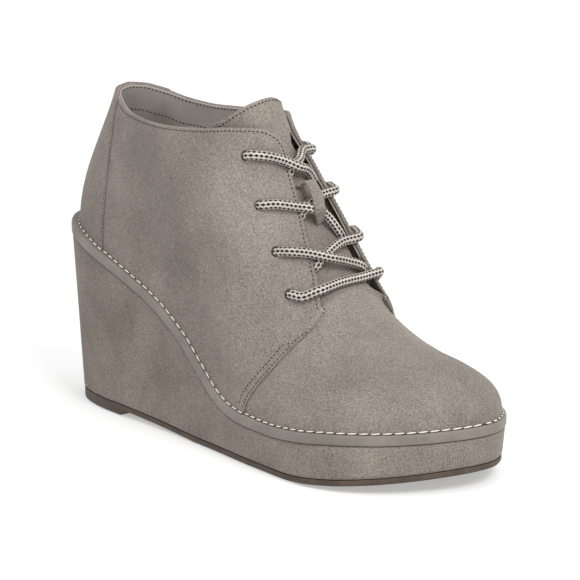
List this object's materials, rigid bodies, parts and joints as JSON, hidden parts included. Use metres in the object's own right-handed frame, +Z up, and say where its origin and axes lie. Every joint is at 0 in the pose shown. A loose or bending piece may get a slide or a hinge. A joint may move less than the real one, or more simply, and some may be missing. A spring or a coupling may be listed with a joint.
{
  "type": "wedge ankle boot",
  "caption": "Lace-up ankle boot on a high covered wedge, with a round toe, a short tongue and a punched lace facing; a right boot.",
  "frame": {"origin": "on the floor under the middle of the heel, in the plane of the heel's and the forefoot's flat treads", "axes": "+X towards the toe, +Y towards the medial side (the inner side of a right foot), +Z up"},
  "size_m": [0.2398, 0.089, 0.143],
  "materials": {
    "grey_suede": "matte napped suede, warm grey",
    "wedge_cover": "matte napped suede cover",
    "welt_leather": "smooth satin grey",
    "brown_rubber": "matte dark brown",
    "grey_lining": "smooth satin lining",
    "checked_cord": "woven round cord, cream with dark checks"
  },
  "bodies": {
    "root": {"outsole": "brown_rubber", "wedge": "wedge_cover", "welt": "welt_leather", "insole": "grey_lining", "upper": "grey_suede", "tongue": "grey_suede", "lace_bar": "checked_cord", "lace_crossing_1": "checked_cord", "lace_crossing_2": "checked_cord", "lace_crossing_3": "checked_cord", "lace_keeper": "grey_suede"}
  },
  "joints": []
}
